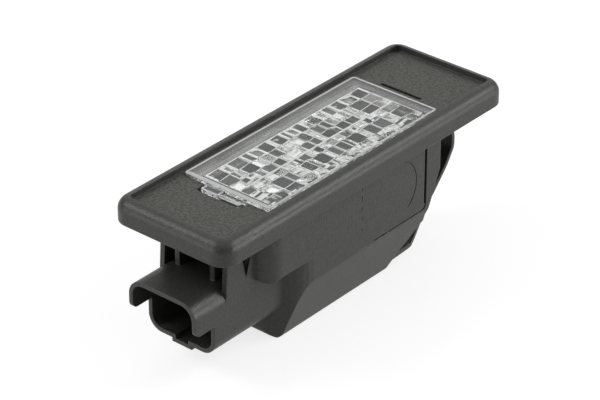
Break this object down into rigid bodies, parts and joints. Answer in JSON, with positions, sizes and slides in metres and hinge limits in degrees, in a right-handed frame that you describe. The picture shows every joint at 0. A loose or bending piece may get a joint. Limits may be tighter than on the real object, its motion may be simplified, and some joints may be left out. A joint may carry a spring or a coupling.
{
  "type": "number plate lamp",
  "caption": "Snap-in number plate lamp: flanged black housing with a plug shroud and spring clip, a clear prismatic lens, a festoon bulb and its contacts.",
  "frame": {"origin": "centre of the flange in plan, on the seat plane that lies on the car's panel", "axes": "+X along the flange, away from the plug; +Y across the flange; +Z out of the panel, the way the lens looks"},
  "size_m": [0.0969, 0.032, 0.0371],
  "materials": {
    "black_plastic": "fine moulded grain, matte",
    "clear_plastic": "clear moulded plastic, gloss, prisms inside",
    "bulb_glass": "clear blown glass",
    "cap_metal": "nickel plated, satin",
    "tungsten": "dull grey wire",
    "lead_wire": "drawn wire",
    "contact_brass": "tinned stamped strip, satin"
  },
  "bodies": {
    "root": {"housing": "black_plastic", "lens": "clear_plastic", "bulb_glass": "bulb_glass", "bulb_cap_near": "cap_metal", "bulb_cap_far": "cap_metal", "filament": "tungsten", "filament_lead_near": "lead_wire", "filament_lead_far": "lead_wire", "contact_near": "contact_brass", "contact_far": "contact_brass"}
  },
  "joints": []
}
